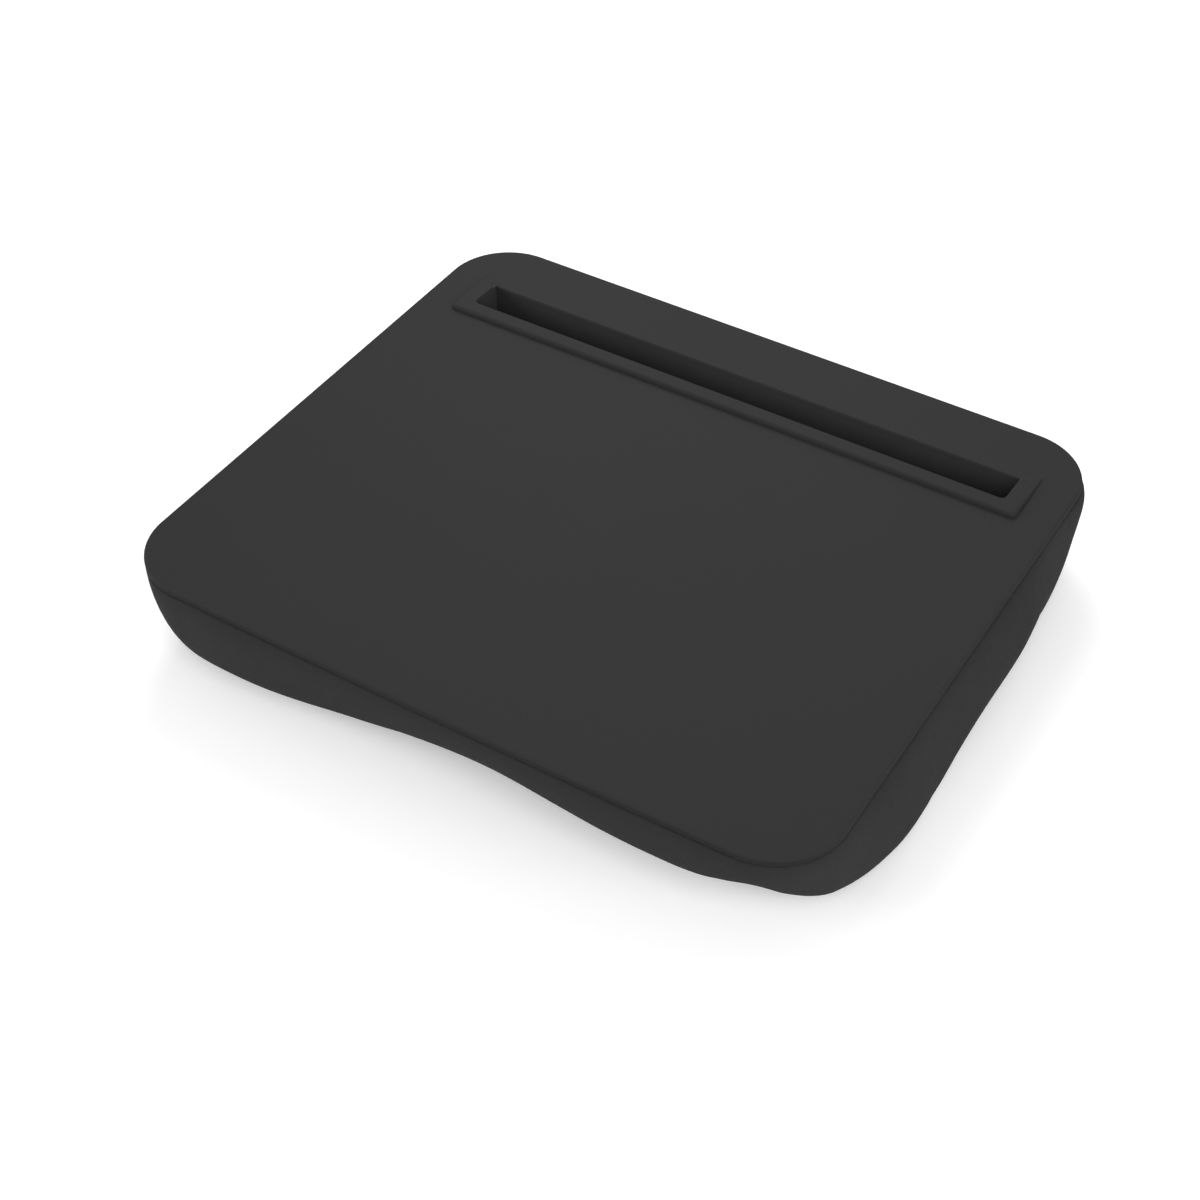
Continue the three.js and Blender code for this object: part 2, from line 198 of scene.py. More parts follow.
# Plain woven cloth, laid out on the piece's own weave map (metres), with painted shade in the dips of the
# weave and in a band below the seam
cloths = {
    "coverCloth": {
        "tone": 0.0301, "tint": (1, 1, 1.02), "thread": 0.00075, "depth": 0.00016,
        "rough": 0.9, "shine": 0.04, "sheen": 0, "vary": 0.16, "seamShade": 0.2,
    },
    "liningCloth": {
        "tone": 0.02, "tint": (1, 1, 1.03), "thread": 0.0012, "depth": 0.0002,
        "rough": 0.95, "shine": 0.1, "sheen": 0.1, "vary": 0.3, "seamShade": 0,
    },
}
clothDetail = {
    "threadRound": 0.7, "threadDip": 0.55,  # height of a thread where it goes under, of 1
    "dark": 0.62, "light": 1.22, "threadShade": 0.8, "cloudShade": 0.35,
    "cloudScale": 24, "cloudDetail": 4, "cloudRough": 0.6, "roughCloud": 0.1,
    "sheenRough": 0.5, "bump": 0.7,
}


def wovenCloth(name):
    look = cloths[name]
    detail = clothDetail
    finish = Finish(name)
    weave = finish.node("ShaderNodeUVMap", {"uv_map": "weave"})
    split = finish.node("ShaderNodeSeparateXYZ", None, {0: weave})
    across = split / look["thread"]
    along = Wire(finish, split.socket.node.outputs[1]) / look["thread"]
    over = (across.floor() + along.floor()) % 2
    warp = abs((across * math.pi).sine())
    weft = abs((along * math.pi).sine())
    curve = detail["threadRound"]
    dip = detail["threadDip"]
    height = over * (weft ** curve) * (dip + warp * (1 - dip))
    height = height + (1 - over) * (warp ** curve) * (dip + weft * (1 - dip))
    cell = finish.node("ShaderNodeCombineXYZ", None, {0: across.floor(), 1: along.floor()})
    fleck = finish.node("ShaderNodeTexWhiteNoise", None, {"Vector": cell}, out=0)
    cloud = finish.noise(
        finish.place(), detail["cloudScale"], detail["cloudDetail"], detail["cloudRough"])
    dark = tone(look["tone"] * detail["dark"], look["tint"])
    light = tone(look["tone"] * detail["light"], look["tint"])
    # painted shade in the weave: darker where the threads dip, paler on their crests
    shade = height * detail["threadShade"] + (fleck - 0.5) * look["vary"]
    # painted shade in a band below the seam
    shade = shade + (cloud - 0.5) * detail["cloudShade"] - finish.attribute("seam") * look["seamShade"]
    return finish.cover({
        "Base Color": finish.mixColour(shade, dark, light),
        "Roughness": look["rough"] + (cloud - 0.5) * detail["roughCloud"],
        "Specular IOR Level": look["shine"],
        "Sheen Weight": look["sheen"],
        "Sheen Roughness": detail["sheenRough"],
        "Normal": finish.bump(height, detail["bump"], look["depth"]),
    })


# Loose polystyrene beads pressed together, painted paler at each bead's middle, with painted shade in the
# gaps between them
beads = {
    "tone": 0.78, "tint": (1, 1, 0.97), "gapShade": 0.429, "size": 0.0045, "depth": 0.0016,
    "domeShade": 0.9, "cloudShade": 0.2, "cloudScale": 60, "cloudDetail": 3,
    "rough": 0.75, "roughCloud": 0.2, "bump": 0.8,
}


def pressedBeads(name):
    finish = Finish(name)
    where = finish.place()
    cell = finish.node("ShaderNodeTexVoronoi", None, {"Vector": where, "Scale": 1 / beads["size"]})
    cloud = finish.noise(where, beads["cloudScale"], beads["cloudDetail"])
    # painted shade: each bead is paler at its middle and darker towards the gaps
    dome = 1 - cell * cell
    shade = dome * beads["domeShade"] + (cloud - 0.5) * beads["cloudShade"]
    return finish.cover({
        "Base Color": finish.mixColour(
            shade, tone(beads["gapShade"]), tone(beads["tone"], beads["tint"])),
        "Roughness": beads["rough"] + (cloud - 0.5) * beads["roughCloud"],
        "Normal": finish.bump(dome, beads["bump"], beads["depth"]),
    })


# Zinc plated steel
zinc = {
    "dark": 0.416, "light": 0.598, "tint": (1, 1, 1.03), "spangle": 700, "spangleDetail": 3,
    "rough": 0.34, "roughSpangle": 0.25, "bump": 0.3, "depth": 0.00003,
}


def platedSteel(name):
    finish = Finish(name)
    spangle = finish.noise(finish.place(), zinc["spangle"], zinc["spangleDetail"])
    return finish.cover({
        "Base Color": finish.mixColour(spangle, tone(zinc["dark"]), tone(zinc["light"], zinc["tint"])),
        "Metallic": 1,
        "Roughness": zinc["rough"] + (spangle - 0.5) * zinc["roughSpangle"],
        "Normal": finish.bump(spangle, zinc["bump"], zinc["depth"]),
    })


finishes = {name: mouldedPlastic(name) for name in plastics}
finishes.update({name: wovenCloth(name) for name in cloths})
finishes["pressedBeads"] = pressedBeads("pressedBeads")
finishes["platedSteel"] = platedSteel("platedSteel")
print("finishes made:", len(finishes))


# Mesh helpers: points in millimetres, placed in the object's own frame
def linked(name, mesh):
    piece = bpy.data.objects.new(name, mesh)
    scene.collection.objects.link(piece)
    return piece


def newPiece(name, points, faces):
    mesh = bpy.data.meshes.new(name)
    mesh.from_pydata([(x * mm, y * mm, z * mm) for x, y, z in points], [], faces)
    mesh.update()
    return linked(name, mesh)


def fromBmesh(name, bm):
    mesh = bpy.data.meshes.new(name)
    bm.to_mesh(mesh)
    bm.free()
    return linked(name, mesh)


def faceOut(piece):
    bm = bmesh.new()
    bm.from_mesh(piece.data)
    bmesh.ops.recalc_face_normals(bm, faces=bm.faces)
    bm.to_mesh(piece.data)
    bm.free()
    return piece


def newRing(bm, places, z):
    return [bm.verts.new((x * mm, y * mm, z * mm)) for x, y in places]


def bridge(bm, low, high):
    for j in range(len(low)):
        k = (j + 1) % len(low)
        bm.faces.new((low[j], low[k], high[k], high[j]))


def fillBetween(bm, *loops):
    edges = []
    for loop in loops:
        for j in range(len(loop)):
            pair = (loop[j], loop[(j + 1) % len(loop)])
            edges.append(bm.edges.get(pair) or bm.edges.new(pair))
    bmesh.ops.triangle_fill(bm, use_beauty=True, edges=edges, normal=Vector((0, 0, 1)))


def asPlainMesh(piece):
    # the piece with its modifiers made real
    bpy.context.view_layer.update()
    graph = bpy.context.evaluated_depsgraph_get()
    mesh = bpy.data.meshes.new_from_object(piece.evaluated_get(graph))
    piece.modifiers.clear()
    old = piece.data
    piece.data = mesh
    mesh.name = piece.name
    if old.users == 0:
        bpy.data.meshes.remove(old)
    return piece


def discard(*helpers):
    for helper in helpers:
        bpy.data.objects.remove(helper, do_unlink=True)


def carve(piece, *steps):
    # joins and cuts, each with a helper that is used up
    for operation, helper in steps:
        cut = piece.modifiers.new(operation, "BOOLEAN")
        cut.operation = operation
        cut.solver = "EXACT"
        cut.object = helper
    asPlainMesh(piece)
    discard(*[helper for operation, helper in steps])
    return piece


def prism(name, plan, low, high):
    count = len(plan)
    points = [(x, y, low) for x, y in plan] + [(x, y, high) for x, y in plan]
    faces = [list(range(count))[::-1], list(range(count, 2 * count))]
    for j in range(count):
        k = (j + 1) % count
        faces.append([j, k, count + k, count + j])
    return newPiece(name, points, faces)


def rectangle(x0, x1, y0, y1):
    return [(x0, y0), (x1, y0), (x1, y1), (x0, y1)]


def block(name, x0, x1, y0, y1, z0, z1):
    return prism(name, rectangle(x0, x1, y0, y1), z0, z1)


def clamp01(value):
    return min(max(value, 0), 1)


def shadeByAngle(piece, degrees):
    mesh = piece.data
    mesh.polygons.foreach_set("use_smooth", [True] * len(mesh.polygons))
    mesh.set_sharp_from_angle(angle=math.radians(degrees))
    return piece


def dress(piece, finish, slotName, *nodes):
    piece.data.materials.clear()
    piece.data.materials.append(finishes[finish])
    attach(piece, "root")
    if nodes:
        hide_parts(*nodes)
    return piece


# One tree that sets out copies of a piece on points, scaled by each point's reach
def makeSetOut():
    tree = bpy.data.node_groups.new("setOut", "GeometryNodeTree")
    for label, kind in (
        ("Points", "Geometry"), ("Piece", "Object"), ("Finish", "Material"),
        ("Turn", "Float"), ("Seed", "Int"),
    ):
        tree.interface.new_socket(label, in_out="INPUT", socket_type="NodeSocket" + kind)
    tree.interface.new_socket("Copies", in_out="OUTPUT", socket_type="NodeSocketGeometry")
    sheet = NodeSheet(tree)
    given = tree.nodes.new("NodeGroupInput")
    part = {socket.name: Wire(sheet, socket) for socket in given.outputs}
    shape = sheet.node("GeometryNodeObjectInfo", None, {"Object": part["Piece"]}, out="Geometry")
    reach = sheet.node(
        "GeometryNodeInputNamedAttribute", {"data_type": "FLOAT_VECTOR"}, {"Name": "reach"})
    turn = sheet.node(
        "FunctionNodeRandomValue", {"data_type": "FLOAT"},
        {2: 0.0, 3: part["Turn"], "Seed": part["Seed"]}, out=1)
    spin = sheet.node("ShaderNodeCombineXYZ", None, {2: turn})
    copies = sheet.node("GeometryNodeInstanceOnPoints", None, {
        "Points": part["Points"], "Instance": shape, "Rotation": spin, "Scale": reach})
    real = sheet.node("GeometryNodeRealizeInstances", None, {0: copies})
    coated = sheet.node(
        "GeometryNodeSetMaterial", None, {"Geometry": real, "Material": part["Finish"]})
    sheet.node("NodeGroupOutput", None, {0: coated})
    return tree


setOut = makeSetOut()


def setOutCopies(name, helper, places, finish, turn=0.0, seed=1):
    # places: (x, y, z) or (x, y, z, (sx, sy, sz)); the helper is used up
    piece = newPiece(name, [place[:3] for place in places], [])
    reach = piece.data.attributes.new("reach", "FLOAT_VECTOR", "POINT")
    for i, place in enumerate(places):
        reach.data[i].vector = place[3] if len(place) > 3 else (1, 1, 1)
    tool = piece.modifiers.new("setOut", "NODES")
    tool.node_group = setOut
    values = {"Piece": helper, "Finish": finishes[finish], "Turn": turn, "Seed": seed}
    for socket in setOut.interface.items_tree:
        if socket.name in values:
            tool[socket.identifier] = values[socket.name]
    asPlainMesh(piece)
    piece.data.attributes.remove(piece.data.attributes["reach"])
    discard(helper)
    return piece


# Board outline, also the line of the cushion's seam
board = {
    "width": 380, "depth": 329, "corner": 36, "frontBow": 2,
    "top": 61, "plate": 3, "rim": 1, "skirt": 2.4, "guard": 0.3,
    "edgeRound": 1.5, "edgeSteps": 8, "rimEase": 1.4, "rimSteps": 8,
    "seamFade": 5,  # a higher power keeps the painted shade at the seam off the top
    "holeEase": 0.6, "holeMiddle": 0.3, "holePaintedLight": (1, 0.6, 0.1),
    "ribWall": 1.6, "ribDepth": 4, "ribsAlong": 3, "ribsAcross": 5, "rimRib": 2,
    "steps": {"corner": 28, "front": 60, "side": 10, "back": 10}, "smooth": 28,
}
slot = {
    "length": 320, "width": 21.5, "depth": 20, "setback": 38.2, "wall": 2,
    "lipFront": 9.5, "lipEnd": 10, "lipTail": 5, "lipHeight": 3, "tailHeight": 0.7,
    "lipCorner": 3, "mouthCorner": 3.2, "cornerSteps": 10,
    "lipRound": 2, "mouthRound": 1.2, "roundShare": 0.8, "roundSteps": 6,
    "tailSteps": 24, "tailFade": 2.5, "tailSlope": 7, "slopeShare": 0.95,
    "lowest": 0.15, "seat": 0.05, "smooth": 35,
    "catches": 4, "catchLength": 14, "catchReach": 1.3, "catchHeight": 3,
}
hem = {
    "width": 8, "cloth": 1.2, "ringWall": 2, "screwRadius": 1.45, "headHeight": 2,
    "bossWall": 1.8, "bossSides": 32, "holeSides": 24, "topSkin": 1.5,
    "screwsAlong": 3, "screwsAside": 2,
}
halfWidth = board["width"] / 2
halfDepth = board["depth"] / 2
plateBottom = board["top"] - board["plate"]
rimBottom = plateBottom - board["rim"]
hemTop = rimBottom - fitGap
ringTop = hemTop - hem["cloth"] - fitGap
ringBottom = ringTop - hem["ringWall"]
bossBottom = ringTop + fitGap
bossRadius = hem["screwRadius"] + fitGap + hem["bossWall"]
bossInset = hem["width"] + fitGap + bossRadius
ribRingInset = bossInset + bossRadius - board["rimRib"] / 2
innerInset = ribRingInset + board["rimRib"]
slotBack = halfDepth - slot["setback"]
slotFront = slotBack - slot["width"]
halfSlot = slot["length"] / 2
troughHalf = halfSlot + slot["wall"]
troughFront = slotFront - slot["wall"]
troughBack = slotBack + slot["wall"]
troughFloor = board["top"] - slot["depth"]
troughBottom = troughFloor - slot["wall"]
lipBase = board["top"] + slot["seat"]
lipHalf = halfSlot + slot["lipEnd"]
lipFront = slotFront - slot["lipFront"]
lipBack = slotBack + slot["lipTail"]


def bowAt(x, half):
    return board["frontBow"] * (1 - (x / half) ** 2)


def outline(inset, steps):
    # anticlockwise from the front left: x, y and the outward direction there
    half = halfWidth - inset
    deep = halfDepth - inset
    curve = max(board["corner"] - inset, bite)
    cx = half - curve
    cy = deep - curve
    loop = []

    def run(x0, y0, x1, y1, count, nx, ny):
        for i in range(count):
            f = i / count
            loop.append((x0 + (x1 - x0) * f, y0 + (y1 - y0) * f, nx, ny))

    def turn(px, py, start):
        for i in range(steps["corner"]):
            a = start + quarter * i / steps["corner"]
            nx = math.cos(a)
            ny = math.sin(a)
            loop.append((px + curve * nx, py + curve * ny, nx, ny))

    run(-cx, -deep, cx, -deep, steps["front"], 0, -1)
    turn(cx, -cy, -quarter)
    run(half, -cy, half, cy, steps["side"], 1, 0)
    turn(cx, cy, 0)
    run(cx, deep, -cx, deep, steps["back"], 0, 1)
    turn(-cx, cy, quarter)
    run(-half, cy, -half, -cy, steps["side"], -1, 0)
    turn(-cx, -cy, math.pi)
    bowed = []
    for x, y, nx, ny in loop:
        bowed.append((x, y - bowAt(x, half) * clamp01((-y - cy) / curve), nx, ny))
    return bowed


def troughRoom(name, room, z0, z1):
    # the space that the trough takes below the board, with room round it
    return block(
        name, -troughHalf - room, troughHalf + room, troughFront - room, troughBack + room, z0, z1)


def screwPlaces():
    half = halfWidth - bossInset
    deep = halfDepth - bossInset
    pitchAlong = (board["width"] - 2 * board["corner"]) / hem["screwsAlong"]
    pitchAside = (board["depth"] - 2 * board["corner"]) / hem["screwsAside"]
    places = []
    for i in range(hem["screwsAlong"]):
        x = (i - (hem["screwsAlong"] - 1) / 2) * pitchAlong
        places += [(x, -deep - bowAt(x, half), 0), (x, deep, 0)]
    for i in range(hem["screwsAside"]):
        y = (i - (hem["screwsAside"] - 1) / 2) * pitchAside
        places += [(-half, y, 0), (half, y, 0)]
    return places


def turned(name, profile, sides):
    # a profile of (radius, height) turned about Z, from axis to axis
    points = [(0, 0, profile[0][1])]
    faces = []
    rings = profile[1:-1]
    for radius, z in rings:
        for j in range(sides):
            a = 2 * math.pi * j / sides
            points.append((radius * math.cos(a), radius * math.sin(a), z))
    last = len(points)
    points.append((0, 0, profile[-1][1]))
    for j in range(sides):
        k = (j + 1) % sides
        faces.append([0, 1 + k, 1 + j])
        for i in range(len(rings) - 1):
            low = 1 + i * sides
            faces.append([low + j, low + k, low + sides + k, low + sides + j])
        top = 1 + (len(rings) - 1) * sides
        faces.append([top + j, top + k, last])
    return newPiece(name, points, faces)


def post(name, radius, low, high, sides):
    return turned(name, [(0, low), (radius, low), (radius, high), (0, high)], sides)


def makeBoard():
    ease = board["rimEase"]
    section = [  # inset, height and painted shade (below zero) at the seam, from the underside round the edge to the top
        (innerInset, plateBottom, 0), (innerInset, bossBottom, 0), (ribRingInset, bossBottom, 0),
        (ribRingInset, plateBottom, 0), (board["skirt"], plateBottom, 0),
        (board["skirt"], rimBottom, 0),
    ]
    # painted shade on the edge: darkest on the upright part between the two rounds, fading off below and
    # towards the top
    for i in range(board["rimSteps"] + 1):
        a = quarter * i / board["rimSteps"]
        section.append((
            ease * (1 - math.sin(a)), rimBottom + ease * (1 - math.cos(a)), -math.sin(a)))
    for i in range(board["edgeSteps"] + 1):
        a = quarter * i / board["edgeSteps"]
        section.append((
            board["edgeRound"] * (1 - math.cos(a)),
            board["top"] - board["edgeRound"] * (1 - math.sin(a)),
            -math.cos(a) ** board["seamFade"]))
    section.append((board["edgeRound"] + board["guard"], board["top"], 0))
    hole = board["holeEase"]
    middle = hole * board["holeMiddle"]
    wallLight, middleLight, topLight = board["holePaintedLight"]
    holeSection = [  # growth, height and painted light, from the underside to the top
        (0, plateBottom, wallLight), (0, board["top"] - hole, wallLight),
        (middle, board["top"] - middle, middleLight), (hole, board["top"], topLight),
        (hole + board["guard"], board["top"], 0),
    ]
    bm = bmesh.new()
    edge = bm.verts.layers.float.new("edge")

    def paintedRing(places, z, paintedLightAndShade):
        ring = newRing(bm, places, z)
        for vert in ring:
            vert[edge] = paintedLightAndShade
        return ring

    rings = []
    for inset, z, paintedLightAndShade in section:
        rings.append(paintedRing([place[:2] for place in outline(inset, board["steps"])], z, paintedLightAndShade))
    for low, high in zip(rings[:-1], rings[1:]):
        bridge(bm, low, high)
    cutHalf = troughHalf + fitGap
    cutFront = troughFront - fitGap
    holeRings = []
    for grow, z, paintedLightAndShade in holeSection:
        cut = rectangle(-cutHalf - grow, cutHalf + grow, cutFront - grow, slotBack + grow)
        holeRings.append(paintedRing(cut, z, paintedLightAndShade))
    for low, high in zip(holeRings[:-1], holeRings[1:]):
        bridge(bm, high, low)
    fillBetween(bm, rings[-1], holeRings[-1])
    fillBetween(bm, rings[0], holeRings[0])
    bmesh.ops.recalc_face_normals(bm, faces=bm.faces)
    piece = fromBmesh("trayBoard", bm)

    # ribs and screw bosses below, as one set each
    reachX = halfWidth - innerInset + bite
    reachY = halfDepth - innerInset + bite
    ribLow = plateBottom - board["ribDepth"]
    ribHigh = plateBottom + bite
    halfRib = board["ribWall"] / 2
    alongPlaces = []
    for i in range(1, board["ribsAlong"] + 1):
        y = -reachY + (troughFront + reachY) * i / (board["ribsAlong"] + 1)
        alongPlaces.append((0, y, 0))
    alongRibs = setOutCopies(
        "alongRibs", block("rib", -reachX, reachX, -halfRib, halfRib, ribLow, ribHigh),
        alongPlaces, "boardPlastic")
    acrossPlaces = []
    for i in range(1, board["ribsAcross"] + 1):
        x = -reachX + 2 * reachX * i / (board["ribsAcross"] + 1)
        bow = bowAt(x, reachX)
        acrossPlaces.append((x, -bow / 2, 0, (1, 1 + bow / 2 / reachY, 1)))
    acrossRibs = setOutCopies(
        "acrossRibs", block("rib", -halfRib, halfRib, -reachY, reachY, ribLow, ribHigh),
        acrossPlaces, "boardPlastic")
    pocket = troughRoom(
        "pocket", slot["catchReach"] + slot["catchHeight"], ribLow - bite, ribHigh + bite)
    grid = carve(alongRibs, ("UNION", acrossRibs), ("DIFFERENCE", pocket))
    bosses = setOutCopies(
        "bosses", post("boss", bossRadius, bossBottom, plateBottom + bite, hem["bossSides"]),
        screwPlaces(), "boardPlastic")
    holes = setOutCopies(
        "holes", post(
            "hole", hem["screwRadius"] + fitGap, bossBottom - bite, board["top"] - hem["topSkin"],
            hem["holeSides"]),
        screwPlaces(), "boardPlastic")
    carve(piece, ("UNION", grid), ("UNION", bosses), ("DIFFERENCE", holes))
    shadeByAngle(piece, board["smooth"])
    return dress(piece, "boardPlastic", "board_plastic", "tray_board")


trayBoard = makeBoard()
print("board made, faces:", len(trayBoard.data.polygons))


def arc(cx, cy, radius, start, end, count):
    points = []
    for i in range(count + 1):
        a = math.radians(start + (end - start) * i / count)
        points.append((cx + radius * math.cos(a), cy + radius * math.sin(a)))
    return points


def lipTop(y):
    # a wedge that falls to the back and rounds off at the ends of the tails
    fall = (slot["lipHeight"] - slot["tailHeight"]) / (lipBack - lipFront)
    height = slot["lipHeight"] - fall * (y - lipFront)
    end = clamp01((y - lipBack) / slot["tailFade"] + 1)
    return board["top"] + slot["lowest"] + (height - slot["lowest"]) * math.sqrt(1 - end * end)


def lipLine(half, front, corner):
    # one side of the lip in plan, from the end of the left tail round to the end of the right one
    line = []
    for i in range(slot["tailSteps"]):
        share = (i / slot["tailSteps"]) ** 2
        line.append((-half, lipBack + (front + corner - lipBack) * share))
    line += arc(-half + corner, front + corner, corner, 180, 270, slot["cornerSteps"])
    return line + [(-x, y) for x, y in reversed(line)]


def makeLip(name, outer, inner):
    # a strip round the front and ends, with rounded edges, that dies out at the back
    steps = slot["roundSteps"]
    points = []
    for (ox, oy), (ix, iy) in zip(outer, inner):
        across = math.hypot(ix - ox, iy - oy)
        ring = [(0, lipBase)]
        for y, radius, turn in ((oy, slot["lipRound"], 1), (iy, slot["mouthRound"], -1)):
            height = lipTop(y) - lipBase
            radius = min(radius, slot["roundShare"] * height)
            slopeDrop = slot["slopeShare"] * height
            ramp = 0
            if turn < 0:  # behind the slot the inner side runs out as a slope
                ramp = clamp01((y - slotBack) / slot["tailFade"] + 1)
            curve = []
            for i in range(steps + 1):
                u = i / steps
                arcPoint = (radius * (1 - math.cos(quarter * u)), radius * (1 - math.sin(quarter * u)))
                slopePoint = (slot["tailSlope"] * u, slopeDrop * (1 + math.cos(math.pi * u)) / 2)
                reach, drop = [a + (b - a) * ramp for a, b in zip(arcPoint, slopePoint)]
                curve.append((reach if turn > 0 else across - reach, lipTop(y) - drop))
            ring += curve[::turn]
        ring.append((across, lipBase))
        for reach, z in ring:
            share = reach / across
            points.append((ox + (ix - ox) * share, oy + (iy - oy) * share, z))
    count = 2 * steps + 4
    sections = len(outer)
    faces = [list(range(count - 1, -1, -1)), list(range((sections - 1) * count, sections * count))]
    for i in range(sections - 1):
        for j in range(count):
            k = (j + 1) % count
            faces.append([i * count + j, i * count + k, (i + 1) * count + k, (i + 1) * count + j])
    return faceOut(newPiece(name, points, faces))


def makeCatches(hookTop):
    # snap catches on the front wall
    section = [
        (troughFront + bite, hookTop), (troughFront - slot["catchReach"], hookTop),
        (troughFront, hookTop - slot["catchHeight"]), (troughFront + bite, hookTop - slot["catchHeight"]),
    ]
    half = slot["catchLength"] / 2
    points = [(-half, y, z) for y, z in section] + [(half, y, z) for y, z in section]
    catch = faceOut(newPiece("catch", points, [
        [0, 1, 2, 3], [7, 6, 5, 4], [0, 4, 5, 1], [1, 5, 6, 2], [2, 6, 7, 3], [3, 7, 4, 0]]))
    pitch = slot["length"] / slot["catches"]
    places = [((i - (slot["catches"] - 1) / 2) * pitch, 0, 0) for i in range(slot["catches"])]
    return setOutCopies("catches", catch, places, "troughPlastic")


def makeTrough():
    hookTop = plateBottom - slot["seat"]
    outer = lipLine(lipHalf, lipFront, slot["lipCorner"])
    inner = lipLine(halfSlot, slotFront, slot["mouthCorner"])
    piece = makeLip("slotTrough", outer, inner)
    walls = block(
        "walls", -troughHalf, troughHalf, troughFront, troughBack, troughBottom, lipBase + bite)
    hook = block(
        "hook", -troughHalf - bite, troughHalf + bite, slotBack - fitGap, troughBack + bite,
        hookTop, lipBase + 2 * bite)
    carve(walls, ("DIFFERENCE", hook))
    catches = makeCatches(hookTop)
    mouth = [(-halfSlot, slotBack)] + [(x, y) for x, y in inner if y < slotBack] + [(halfSlot, slotBack)]
    hollow = prism("hollow", mouth, troughFloor, board["top"] + slot["lipHeight"] + bite)
    carve(walls, ("UNION", catches), ("DIFFERENCE", hollow))
    carve(piece, ("UNION", walls))
    paintedLightAndShade = []  # painted light: the inside of the slot is paler in colour, and a little smoother
    for vert in piece.data.vertices:
        x, y, z = vert.co / mm
        inSlot = abs(x) < halfSlot + bite and slotFront - bite < y < slotBack + bite
        paintedLightAndShade.append(1.0 if inSlot and troughFloor - bite < z < lipBase + bite else 0.0)
    edge = piece.data.attributes.new("edge", "FLOAT", "POINT")
    edge.data.foreach_set("value", paintedLightAndShade)
    shadeByAngle(piece, slot["smooth"])
    return dress(piece, "troughPlastic", "trough_plastic", "slot_trough")


slotTrough = makeTrough()
print("trough made, faces:", len(slotTrough.data.polygons))


# Cushion: places round the edge give the base's inset towards the middle and the side's bulge
cushion = {
    "fold": 1.6, "baseCut": 0.5, "halvings": 40,
    "hemRows": 3, "foldRows": 5, "sideRows": 28, "baseRings": 12,
    "freeRows": 3, "settleRows": 4,  # over these the cloth comes free at the seam and is held again
    "steps": {"corner": 17, "front": 90, "side": 76, "back": 90},
    "pressure": 1, "slack": -0.003, "stiff": 18, "shear": 9, "bend": 8,
    "mass": 0.2, "quality": 6, "frames": 20,
    "swellMost": 0.5, "sinkMost": 0.35, "slideMost": 0.8,
    "seamShade": 15,  # height of the band of painted shade below the seam
    "places": [
        (-163, 36, 2), (-148, 52, 0.5), (-141, 52, 0), (-134, 34, 0), (-123, 50, 7.5), (-107, 65, 4.5),
        (-84, 79, 0), (-67, 105, 7), (-58, 109, 7.5), (-53, 110, 5.5), (-49, 116, 0), (-44, 65, 0.5),
        (-37, 24, 6.5), (-28, 8, 11), (-14, 0, 8.5), (3, 18, 13), (20, 13, 11), (34, 3, 3),
        (45, 12, 0.5), (63, 36, 5), (90, 46, 3), (117, 36, 5), (135, 28, 3), (146, 17, 6), (160, 16, 10),
        (177, 22, 9),
    ],
    "ears": {45: 3.5},  # at a place where the corner stands out just below the seam
    "earPower": 8,
}
sideDrop = hemTop + cushion["baseCut"]


def cushionAt(x, y):
    # inset, bulge and ear from a smooth curve through the places on either side
    angle = math.degrees(math.atan2(y / halfDepth, x / halfWidth))
    places = [(*place, cushion["ears"].get(place[0], 0)) for place in cushion["places"]]
    ring = [(place[0] - 360, *place[1:]) for place in places[-2:]] + places
    ring += [(place[0] + 360, *place[1:]) for place in places[:2]]
    after = next(i for i, place in enumerate(ring) if place[0] > angle)
    near = ring[after - 2:after + 2]
    span = near[2][0] - near[1][0]
    f = (angle - near[1][0]) / span
    values = []
    for k in (1, 2, 3):
        slopes = [(b[k] - a[k]) / (b[0] - a[0]) for a, b in zip(near[:-1], near[1:])]
        leave = (slopes[0] + slopes[1]) / 2 * span
        arrive = (slopes[1] + slopes[2]) / 2 * span
        rise = near[2][k] - near[1][k]
        bend = 3 * rise - 2 * leave - arrive + f * (leave + arrive - 2 * rise)
        values.append(near[1][k] + f * (leave + f * bend))
    return values


class Station:
    # the cushion's side at one place of the edge
    def __init__(self, x, y, nx, ny):
        self.edge = Vector((x, y, 0))
        self.out = Vector((nx, ny, 0))
        self.radial = self.edge.normalized()
        self.inset, self.bulge, ear = cushionAt(x, y)
        power = cushion["earPower"]
        self.earRise = ear * (power + 1) ** (power + 1) / power ** power
        self.lean = self.out.dot(self.radial)

    def at(self, t, depth=0.0):
        # t runs from the seam (0) to the ground; depth goes in square to the cloth
        power = cushion["earPower"]
        swell = self.bulge * math.sin(math.pi * t) + self.earRise * t * (1 - t) ** power
        draw = self.inset * (1 - math.cos(quarter * t))
        slopeOut = self.bulge * math.pi * math.cos(math.pi * t)
        slopeOut += self.earRise * (1 - t) ** (power - 1) * (1 - (power + 1) * t)
        slopeOut -= self.inset * quarter * math.sin(quarter * t) * self.lean
        slopeDown = -sideDrop * quarter * math.cos(quarter * t)
        length = math.hypot(slopeOut, slopeDown)
        point = self.edge + self.out * (swell + depth * slopeDown / length) - self.radial * draw
        point.z = hemTop - sideDrop * math.sin(quarter * t) - depth * slopeOut / length
        return point

    def reach(self, z, depth):
        # t at which the moved-in side passes a height
        low, high = 0.0, groundT
        for i in range(cushion["halvings"]):
            middle = (low + high) / 2
            if self.at(middle, depth).z > z:
                low = middle
            else:
                high = middle
        return (low + high) / 2


groundT = math.asin(hemTop / sideDrop) / quarter


